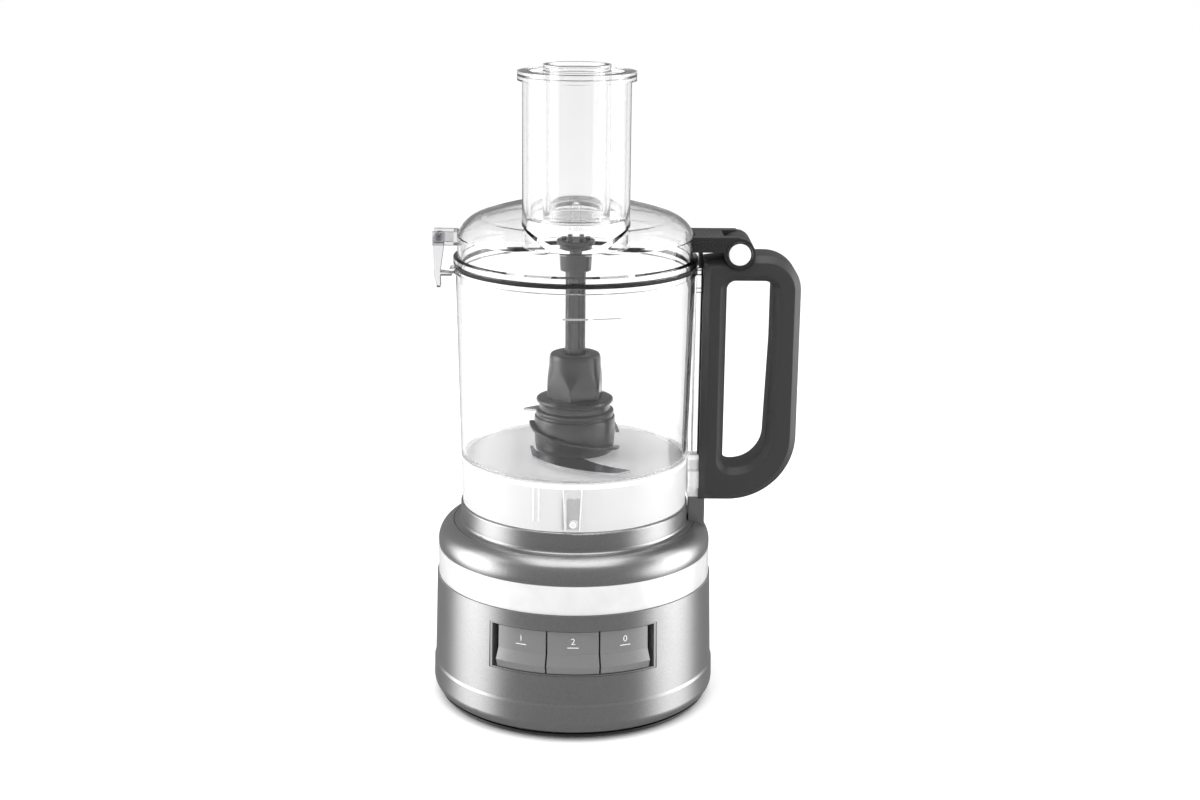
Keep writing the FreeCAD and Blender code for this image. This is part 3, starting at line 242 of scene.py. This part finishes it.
silver, wires, shader = surface("silver_paint", (0.4, 0.4, 0.41), 0.34, Metallic=0.85, Coat_Weight=0.15,
                                Coat_Roughness=0.2)
flake = grain(wires, 2400.0, 1.0)
ramp = wires.node("ShaderNodeValToRGB", {"stops": ((0.3, 0.28), (0.7, 0.40))}, Fac=flake)
wires.plug(shader.inputs["Base Color"], wires.out(ramp, "Color"))
wires.plug(shader.inputs["Roughness"], 0.26 + grain(wires, 30.0) * 0.06)
bump(wires, shader, flake, 0.06, 0.0002)
dress(silver, "base_housing", "shoulder_cover", "interlock_tower", "bowl_deck")


# ---- bright band ------------------------------------------------------------------------------------
# A plain white-silver hoop, snapped into the gap between the drum and the shoulder. It carries
# no marking.

dress(moulded("bright_band", (0.80, 0.80, 0.80), 0.22, 0.3, 60.0, 0.00001, Metallic=0.15), "trim_band")


# ---- underside and inlet ----------------------------------------------------------------------------
# Black moulded bottom plate held by four steel screws, the rubber ring that the object stands on,
# and the rubber bush of the inlet in the back.

RUBBER = moulded("black_rubber", (0.018, 0.018, 0.018), 0.6, 0.78, 1100.0, 0.0001)
BLACK = moulded("black_plastic", (0.02, 0.02, 0.021), 0.38, 0.5, 900.0, 0.00005)
STEEL = moulded("brushed_steel", (0.62, 0.62, 0.64), 0.16, 0.3, 500.0, 0.00003, Metallic=1.0)
dress(BLACK, "bottom_plate")
dress(RUBBER, "foot_ring", "cord_gland")
dress(STEEL, "base_screws")


# ---- buttons ----------------------------------------------------------------------------------------
# Three spring-loaded grey keys in a black tray. Each has a label face above and a ledge for the
# finger below, and plain printed marks: a numeral over a short bar.

dress(moulded("button_plastic", (0.36, 0.36, 0.365), 0.26, 0.36, 1200.0, 0.00004, Metallic=0.6),
      "low_button", "high_button", "pulse_button")
dress(BLACK, "button_switches")

# the tray is black inside; only its front rim is sprayed with the drum
TRAY_RIM = 0.0896
tray, wires, shader = surface("button_tray", (0.02, 0.02, 0.02), 0.4)
here = wires.out(wires.node("ShaderNodeTexCoord"), "Object")
flat = wires.out(wires.node("ShaderNodeMapping", Vector=here, Scale=(1.0, 1.0, 0.0)))
reach = wires.out(wires.node("ShaderNodeVectorMath", {"operation": "LENGTH"}, _0=flat), "Value")
sprayed = wires.math("GREATER_THAN", reach, TRAY_RIM)
wires.plug(shader.inputs["Base Color"], 0.02 + sprayed * 0.3)
wires.plug(shader.inputs["Metallic"], sprayed * 0.8)
wires.plug(shader.inputs["Roughness"], 0.32 + grain(wires, 900.0) * 0.1)
dress(tray, "button_bezel")

INK = moulded("white_ink", (0.86, 0.86, 0.86), 0.4, 0.5, 900.0, 0.00001)
KEYS = (("low", -1, "1"), ("high", 0, "2"), ("pulse", 1, "0"))
BUTTON_PITCH = math.radians(21.6)
FACE_RADIUS = 0.0942
INK_THICK = 0.00012
NUMERAL_SIZE = 0.0062
NUMERAL_FOOT = 0.0686
BAR_DROP = 0.0024
BAR_WIDE = 0.0075
BAR_TALL = 0.0006
UPRIGHT = math.pi / 2
MERGE = 0.000001


def finish(piece, name, body, material, replaced=()):
    """Names a finished piece, gives it its finish and ties it to its body."""
    piece.name = name
    piece.data.name = name
    piece.data.materials.clear()
    piece.data.materials.append(material)
    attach(piece, body)
    if replaced:
        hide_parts(*replaced)
    bpy.ops.object.select_all(action="DESELECT")
    return piece


def settle(angle=30.0):
    """Applies the active object's place and smooths all but its sharp edges."""
    bpy.ops.object.transform_apply(location=True, rotation=True, scale=True)
    bpy.ops.object.shade_smooth_by_angle(angle=math.radians(angle))


def edit_all():
    """Opens the active object in edit mode with all of it selected."""
    bpy.ops.object.mode_set(mode="EDIT")
    bpy.ops.mesh.select_all(action="SELECT")


def close_up(holes=None):
    """Merges doubles, fills holes of up to so many sides (0 for any), turns faces outwards, ends the edit."""
    bpy.ops.mesh.select_all(action="SELECT")
    bpy.ops.mesh.remove_doubles(threshold=MERGE)
    if holes is not None:
        bpy.ops.mesh.fill_holes(sides=holes)
    bpy.ops.mesh.normals_make_consistent(inside=False)
    bpy.ops.object.mode_set(mode="OBJECT")


def round_drum(step, radius, height):
    """Angle, outward direction and place of one of the three keys at a radius from the spindle."""
    angle = BUTTON_PITCH * step
    out = Vector((math.sin(angle), -math.cos(angle), 0.0))
    return angle, out, out * radius + Vector((0.0, 0.0, height))


for key, step, numeral in KEYS:
    angle, out, spot = round_drum(step, FACE_RADIUS - INK_THICK * 0.2, NUMERAL_FOOT)
    bpy.ops.object.text_add(location=spot, rotation=(UPRIGHT, 0.0, angle))
    text = bpy.context.object
    text.data.body = numeral
    text.data.size = NUMERAL_SIZE
    text.data.align_x = "CENTER"
    text.data.extrude = INK_THICK
    bpy.ops.object.convert(target="MESH")
    spot.z -= BAR_DROP
    bpy.ops.mesh.primitive_cube_add(size=1.0, location=spot, rotation=(UPRIGHT, 0.0, angle))
    bar = bpy.context.object
    bar.scale = (BAR_WIDE, BAR_TALL, INK_THICK * 2)
    bpy.ops.object.transform_apply(location=False, rotation=False, scale=True)
    bpy.ops.object.mode_set(mode="EDIT")
    bpy.ops.mesh.bevel(offset=0.0001, segments=2)
    bpy.ops.object.mode_set(mode="OBJECT")
    text.select_set(True)
    bar.select_set(True)
    bpy.context.view_layer.objects.active = text
    bpy.ops.object.join()
    settle()
    edit_all()
    close_up()
    finish(text, key + "_button_marks", key + "_button", INK)

# each key's return spring stands on the tray's back wall; in the real key it closes up as the key goes in,
# but this coil is made at rest length and does not
TRAY_BACK = 0.08645
SPRING_LENGTH = 0.0026
SPRING_RADIUS = 0.003
SPRING_WIRE = 0.0003
SPRING_TURNS = 2
SPRING_STEPS = 96
BUTTON_MIDDLE = 0.0629
for key, step, _ in KEYS:
    angle, out, seat = round_drum(step, TRAY_BACK, BUTTON_MIDDLE)
    bpy.ops.mesh.primitive_circle_add(vertices=10, radius=SPRING_WIRE, fill_type="NOTHING",
                                      location=(SPRING_RADIUS, 0.0, SPRING_WIRE),
                                      rotation=(UPRIGHT, 0.0, 0.0))
    bpy.ops.object.transform_apply(location=True, rotation=True, scale=True)
    coil = bpy.context.object
    turns = coil.modifiers.new("turns", "SCREW")
    turns.axis = "Z"
    turns.angle = math.tau * SPRING_TURNS
    turns.screw_offset = SPRING_LENGTH - 2 * SPRING_WIRE
    turns.steps = SPRING_STEPS
    turns.render_steps = SPRING_STEPS
    bpy.ops.object.modifier_apply(modifier="turns")
    edit_all()
    close_up(0)
    coil.rotation_euler = (UPRIGHT, 0.0, angle)
    coil.location = seat
    settle(60.0)
    finish(coil, key + "_coil", "base", STEEL, (key + "_spring",))
    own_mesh(coil)


# ---- board, motor and drive -------------------------------------------------------------------------
# Behind the panel: the control board, the motor on its bracket, and the toothless belt that turns
# the large pulley on the spindle. All of it is closed in by the housing and the bottom plate.

dress(moulded("solder_mask", (0.03, 0.2, 0.08), 0.3, 0.42, 500.0, 0.00003), "control_board")
dress(moulded("cast_alloy", (0.5, 0.5, 0.52), 0.4, 0.6, 700.0, 0.0001, Metallic=1.0),
      "motor_bracket", "motor_end_cap", "motor_pulley")
dress(moulded("lamination_iron", (0.22, 0.22, 0.23), 0.4, 0.6, 700.0, 0.0001, Metallic=0.9),
      "motor_stator", "armature")
dress(moulded("enamelled_copper", (0.6, 0.28, 0.12), 0.25, 0.4, 900.0, 0.0001, Metallic=1.0),
      "stator_windings", "commutator")
dress(STEEL, "motor_spacers", "motor_bearings", "motor_shaft", "drive_spindle", "spindle_bearings")
dress(BLACK, "cooling_fan", "carbon_brushes")
dress(RUBBER, "drive_belt")


# ---- interlock --------------------------------------------------------------------------------------
# The closed lid pushes a rod down the bowl's channel, and the rod pushes a black moulded plunger in
# the tower onto its switch, against a steel spring. The clear rod is dressed with the bowl.

dress(BLACK, "interlock_plunger", "interlock_switch")
dress(STEEL, "plunger_spring")


# ---- bowl -------------------------------------------------------------------------------------------
# Clear copolyester bowl: the wall is polished, the skirt under the floor is frosted in the mould and given a
# faint painted glow, stronger on the floor, and two moulded lines on the wall show how far to fill it. The
# skirt has ribs, slots and a boss.

FLOOR_HEIGHT = 0.174
FLOOR_WEB = 0.003
CLEAR_IOR = 1.42
WATER_WHITE = (0.985, 0.985, 0.985)
# how much frosted white goes into the skirt and, on top of that, into the floor web: partly real frost,
# partly a painted glow that lightens them
SKIRT_FROST_AND_GLOW = 0.46
WEB_FROST_AND_GLOW = 0.5


def clear(name, tint, roughness, ior, frosted_below=None):
    """Clear plastic, frosted below a height where one is given; the frosted part also has a faint painted
    glow.
    """
    material, wires, shader = surface(name, tint, roughness, Transmission_Weight=1.0, IOR=ior)
    ripple = grain(wires, 22.0)
    bump(wires, shader, ripple, 0.05, 0.0005)
    if frosted_below is None:
        wires.plug(shader.inputs["Roughness"], roughness + ripple * 0.01)
        return material
    tree = material.node_tree
    here = wires.out(wires.node("ShaderNodeTexCoord"), "Object")
    height = wires.out(wires.node("ShaderNodeSeparateXYZ", Vector=here), "Z")
    frost = wires.math("LESS_THAN", height, frosted_below)
    wires.plug(shader.inputs["Roughness"], roughness + frost * 0.16 + ripple * 0.01)
    white = (1.0, 1.0, 1.0, 1.0)
    # the frosted white also emits a little light: a painted glow, not a lamp, that lightens the skirt and
    # floor
    milk_and_glow = wires.node("ShaderNodeBsdfPrincipled", Base_Color=white, Emission_Color=white,
                      Emission_Strength=0.16, Roughness=0.3, Transmission_Weight=0.12, IOR=1.1)
    web = wires.math("GREATER_THAN", height, frosted_below - FLOOR_WEB)
    mixed = wires.node("ShaderNodeMixShader", _0=frost * (SKIRT_FROST_AND_GLOW + web * WEB_FROST_AND_GLOW))
    tree.links.new(shader.outputs["BSDF"], mixed.inputs[1])
    tree.links.new(milk_and_glow.outputs["BSDF"], mixed.inputs[2])
    tree.links.new(mixed.outputs["Shader"], tree.nodes["Material Output"].inputs["Surface"])
    return material


dress(clear("bowl_plastic", WATER_WHITE, 0.0, CLEAR_IOR, FLOOR_HEIGHT + 0.0002), "bowl")
CLEAR = clear("clear_plastic", WATER_WHITE, 0.0, CLEAR_IOR)
dress(CLEAR, "interlock_rod")


def swept(radius, height, deep, tall, start, angle, steps):
    """Bar of a rectangular section swept round the spindle's axis from a start angle, both in degrees."""
    turn = math.radians(start)
    place = (math.cos(turn) * radius, math.sin(turn) * radius, height)
    bpy.ops.mesh.primitive_plane_add(size=1.0, location=place, rotation=(UPRIGHT, 0.0, turn))
    bpy.context.object.scale = (deep, tall, 1.0)
    bpy.ops.object.transform_apply(location=True, rotation=True, scale=True)
    edit_all()
    bpy.ops.mesh.spin(steps=steps, angle=math.radians(angle), center=(0.0, 0.0, 0.0), axis=(0.0, 0.0, 1.0))
    close_up()
    settle()
    return bpy.context.object


def turned(profile, sides, tube=False):
    """Body of revolution through (radius, height) rings: closed by discs, or as a tube by its first ring."""
    radius, height = profile[0]
    bpy.ops.mesh.primitive_circle_add(vertices=sides, radius=radius, location=(0.0, 0.0, height))
    bpy.ops.object.transform_apply(location=True, rotation=True, scale=True)
    bpy.ops.object.mode_set(mode="EDIT")
    bpy.ops.mesh.select_mode(type="EDGE")
    bpy.ops.mesh.select_all(action="SELECT")
    for wide, high in profile[1:] + (profile[:1] if tube else []):
        bpy.ops.mesh.extrude_region_move(TRANSFORM_OT_translate={"value": (0.0, 0.0, high - height)})
        bpy.ops.transform.resize(value=(wide / radius, wide / radius, 1.0), center_override=(0.0, 0.0, high))
        radius, height = wide, high
    close_up(0)
    return bpy.context.object


MILKY = moulded("moulded_line", (0.8, 0.8, 0.81), 0.3, 0.45, 700.0, 0.00002)
FILL_RADIUS = 0.0781
FILL_HEIGHT = 0.2855
FILL_DEPTH = 0.0006
for name, tall, start, angle in (("fill_line", 0.0012, 276.0, 12.0), ("fill_line_far", 0.0006, 292.0, 14.0)):
    finish(swept(FILL_RADIUS, FILL_HEIGHT, FILL_DEPTH, tall, start, angle, 24), name, "bowl",
           MILKY)

# the ribs, the two sides of the slot and the boss are the skirt's own frosted plastic; the white strips laid
# on them are painted highlights
RIB_HIGHLIGHT = moulded("rib_highlight", (0.92, 0.92, 0.92), 0.2, 0.3, 700.0, 0.00002)
# grey sheet for the skirt: painted shade for the darker band where the dark deck shows through
PANEL_SHADE = moulded("panel_shade", (0.5, 0.5, 0.505), 0.25, 0.35, 700.0, 0.00002, Metallic=0.2)
SKIRT_RADIUS = 0.0778
SKIRT_MIDDLE = 0.1572
RIB_TOP = SKIRT_MIDDLE + 0.0145
RIB_WIDE = 0.0009
RIB_DEEP = 0.0018
# the grey panel on the skirt beside the ribs is painted shade
finish(swept(SKIRT_RADIUS + 0.0002, SKIRT_MIDDLE, 0.0004, 0.027, 273.0, 9.0, 12), "skirt_shade_panel", "bowl",
       PANEL_SHADE)
for name, x, lean, tall in (("left_rib", -0.0064, -3.0, 0.029), ("right_rib", 0.0044, 3.0, 0.029),
                            ("slot_left", -0.0268, 0.0, 0.024), ("slot_right", -0.0232, 0.0, 0.024)):
    bpy.ops.mesh.primitive_cube_add(size=1.0)
    rib = bpy.context.object
    rib.scale = (RIB_WIDE, RIB_DEEP, tall)
    rib.location = (x, -math.sqrt(SKIRT_RADIUS ** 2 - x ** 2) - 0.0002, RIB_TOP - tall / 2)
    rib.rotation_euler = (0.0, math.radians(lean), math.atan2(x, SKIRT_RADIUS))
    bpy.ops.object.transform_apply(location=True, rotation=True, scale=True)
    edit_all()
    bpy.ops.mesh.bevel(offset=0.0003, segments=3)
    bpy.ops.object.mode_set(mode="OBJECT")
    settle()
    finish(rib, name, "bowl", RIB_HIGHLIGHT)

boss = turned([(0.0006, 0.0), (0.0022, 0.0), (0.0022, 0.0012), (0.0019, 0.0015), (0.0014, 0.0015),
               (0.0012, 0.0009), (0.0006, 0.0009)], 40)
BOSS_HEIGHT = 0.1466
boss.rotation_euler = (UPRIGHT, 0.0, 0.0)
boss.location = (-0.0008, -SKIRT_RADIUS - 0.0001, BOSS_HEIGHT)
settle()
finish(boss, "skirt_boss", "bowl", RIB_HIGHLIGHT)


# ---- handle -----------------------------------------------------------------------------------------
# Charcoal loop with a fine spark-eroded texture and softly rolled edges, screwed to the bowl's pads
# from inside the finger gap.

CHARCOAL = moulded("charcoal_plastic", (0.036, 0.036, 0.037), 0.42, 0.54, 1700.0, 0.00014)


def rolled(node, width, steps):
    """Copy of a CAD piece with its sharp edges rolled over; it stays selected."""
    piece = bpy.data.objects.new(node + "_copy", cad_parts[node].data.copy())
    bpy.context.collection.objects.link(piece)
    bpy.context.view_layer.objects.active = piece
    piece.select_set(True)
    bpy.ops.mesh.customdata_custom_splitnormals_clear()
    edit_all()
    bpy.ops.mesh.remove_doubles(threshold=MERGE * 2)
    bpy.ops.mesh.dissolve_limited(angle_limit=math.radians(0.6))
    bpy.ops.object.mode_set(mode="OBJECT")
    edge = piece.modifiers.new("rolled", "BEVEL")
    edge.width = width
    edge.segments = steps
    edge.limit_method = "ANGLE"
    edge.angle_limit = math.radians(28.0)
    edge.use_clamp_overlap = True
    edge.harden_normals = False
    bpy.ops.object.modifier_apply(modifier="rolled")
    settle(35.0)
    return piece


finish(rolled("handle", 0.0016, 4), "rolled_handle", "bowl", CHARCOAL, ("handle",))
dress(STEEL, "handle_screws", "hinge_pin")


# ---- blade unit -------------------------------------------------------------------------------------
# Dark glass-filled hub: a grooved drum with a spiral flange that carries the blades, and a collar
# whose six facets run out in pointed arches. It sits on a fluted shaft with a toothed crown.

HUB = moulded("hub_plastic", (0.04, 0.04, 0.041), 0.24, 0.34, 1300.0, 0.00004, Coat_Weight=0.4,
              Coat_Roughness=0.25)
drum = turned([
    (0.0170, 0.1770), (0.0258, 0.1766), (0.0266, 0.1776), (0.0276, 0.1830), (0.0279, 0.1900),
    (0.0279, 0.2002), (0.0276, 0.2012), (0.0266, 0.2018), (0.0264, 0.2030), (0.0268, 0.2036),
    (0.0271, 0.2046), (0.0268, 0.2056), (0.0258, 0.2062), (0.0246, 0.2066), (0.0246, 0.2104),
    (0.0250, 0.2110), (0.0262, 0.2116), (0.0266, 0.2126), (0.0262, 0.2138), (0.0246, 0.2144),
    (0.0200, 0.2146), (0.0076, 0.2146), (0.0076, 0.2100), (0.0170, 0.2050),
], 96, tube=True)
settle(40.0)
finish(drum, "hub_drum", "blade", HUB, ("blade_hub",))

FACET_COUNT = 6
FACET_START = 52.0
FACET_LEAN = math.radians(-1.2)
FACET_REACH = 0.0177
FACET_HEIGHT = 0.2145
collar = turned([
    (0.0074, 0.2142), (0.0203, 0.2142), (0.0206, 0.2150), (0.0203, 0.2220), (0.0194, 0.2280),
    (0.0184, 0.2330), (0.0178, 0.2370), (0.0177, 0.2415), (0.0174, 0.2436), (0.0166, 0.2450),
    (0.0154, 0.2455), (0.0098, 0.2455), (0.0090, 0.2448), (0.0074, 0.2446),
], 96, tube=True)
bpy.ops.object.mode_set(mode="EDIT")
for i in range(FACET_COUNT):
    turn = math.radians(360.0 * i / FACET_COUNT + FACET_START)
    normal = Vector((math.cos(turn) * math.cos(FACET_LEAN), math.sin(turn) * math.cos(FACET_LEAN),
                     math.sin(FACET_LEAN)))
    point = Vector((math.cos(turn) * FACET_REACH, math.sin(turn) * FACET_REACH, FACET_HEIGHT))
    bpy.ops.mesh.select_all(action="SELECT")
    bpy.ops.mesh.bisect(plane_co=point, plane_no=normal, use_fill=True, clear_outer=True, threshold=MERGE)
bpy.ops.object.mode_set(mode="OBJECT")
settle(22.0)
finish(collar, "hub_collar", "blade", HUB)

# one face of a small bar is swept down round the drum
FLANGE_DROP = -0.0185
FLANGE_SWEEP = math.radians(186.0)
FLANGE_STEPS = 72
FLANGE_WIDE = 0.0052
FLANGE_TALL = 0.0022
bpy.ops.mesh.primitive_cube_add(size=1.0, location=(-0.0289, 0.0, 0.1962))
flange = bpy.context.object
flange.scale = (FLANGE_WIDE, 0.0004, FLANGE_TALL)
bpy.ops.object.transform_apply(location=True, rotation=True, scale=True)
bpy.ops.object.mode_set(mode="EDIT")
bpy.ops.mesh.select_mode(type="FACE")
bpy.ops.mesh.select_all(action="DESELECT")
bpy.ops.object.mode_set(mode="OBJECT")
for face in flange.data.polygons:
    face.select = face.normal.y < 0.9
bpy.ops.object.mode_set(mode="EDIT")
bpy.ops.mesh.delete(type="FACE")
bpy.ops.object.mode_set(mode="OBJECT")
screw = flange.modifiers.new("screw", "SCREW")
screw.axis = "Z"
screw.angle = FLANGE_SWEEP
screw.screw_offset = FLANGE_DROP
screw.steps = FLANGE_STEPS
screw.render_steps = FLANGE_STEPS
bpy.ops.object.modifier_apply(modifier="screw")
edit_all()
close_up(4)
roll = flange.modifiers.new("roll", "BEVEL")
roll.width = 0.0008
roll.segments = 3
roll.limit_method = "ANGLE"
roll.angle_limit = math.radians(40.0)
bpy.ops.object.modifier_apply(modifier="roll")
settle(35.0)
finish(flange, "blade_flange", "blade", HUB)

SHAFT = moulded("shaft_plastic", (0.09, 0.09, 0.093), 0.2, 0.3, 900.0, 0.00004, Metallic=0.6)
dress(SHAFT, "drive_shaft", "spindle_pulley")
dress(HUB, "shaft_crown")
dress(STEEL, "lower_blade", "upper_blade")


# ---- lid --------------------------------------------------------------------------------------------
# Clear lid with its feed chute, the black seal under its flange, the dark hinge arm with white caps
# on the pin, and the clear latch lever opposite.

dress(CLEAR, "lid")
dress(clear("latch_plastic", (0.74, 0.74, 0.75), 0.12, 1.52), "latch_bracket", "latch_lever")
dress(RUBBER, "lid_seal")
dress(STEEL, "latch_pin", "latch_spring")
ARM = moulded("arm_plastic", (0.022, 0.022, 0.023), 0.22, 0.32, 1200.0, 0.00004)
finish(rolled("hinge_arm", 0.0009, 3), "rolled_arm", "lid", ARM, ("hinge_arm",))

WHITE = moulded("white_plastic", (0.9, 0.9, 0.9), 0.22, 0.32, 500.0, 0.00002)
HINGE_X = 0.1094
HINGE_Y = 0.0200
HINGE_Z = 0.3178
for side, name in ((-1, "front"), (1, "back")):
    cap = turned([(0.0018, 0.0), (0.0074, 0.0), (0.0074, 0.0012), (0.0071, 0.0016), (0.0066, 0.0018),
                  (0.0020, 0.0018)], 64)
    ring = turned([(0.0076, 0.0), (0.0087, 0.0), (0.0087, 0.0011), (0.0084, 0.0014), (0.0076, 0.0014)],
                  64, tube=True)
    for piece, kind, slot, material in ((cap, "_cap", "white_plastic", WHITE),
                                        (ring, "_ring", "dark_plastic", ARM)):
        bpy.ops.object.select_all(action="DESELECT")
        piece.select_set(True)
        bpy.context.view_layer.objects.active = piece
        piece.rotation_euler = (-UPRIGHT * side, 0.0, 0.0)
        piece.location = (HINGE_X, side * HINGE_Y, HINGE_Z)
        settle()
        replaced = ("hinge_caps",) if name + kind == "front_cap" else ()
        finish(piece, name + kind, "lid", material, replaced)


# ---- pushers ----------------------------------------------------------------------------------------
# Two clear mouldings. The small pusher slides in the sleeve of the large one, and each hangs by its
# flange.

dress(CLEAR, "large_pusher", "small_pusher")
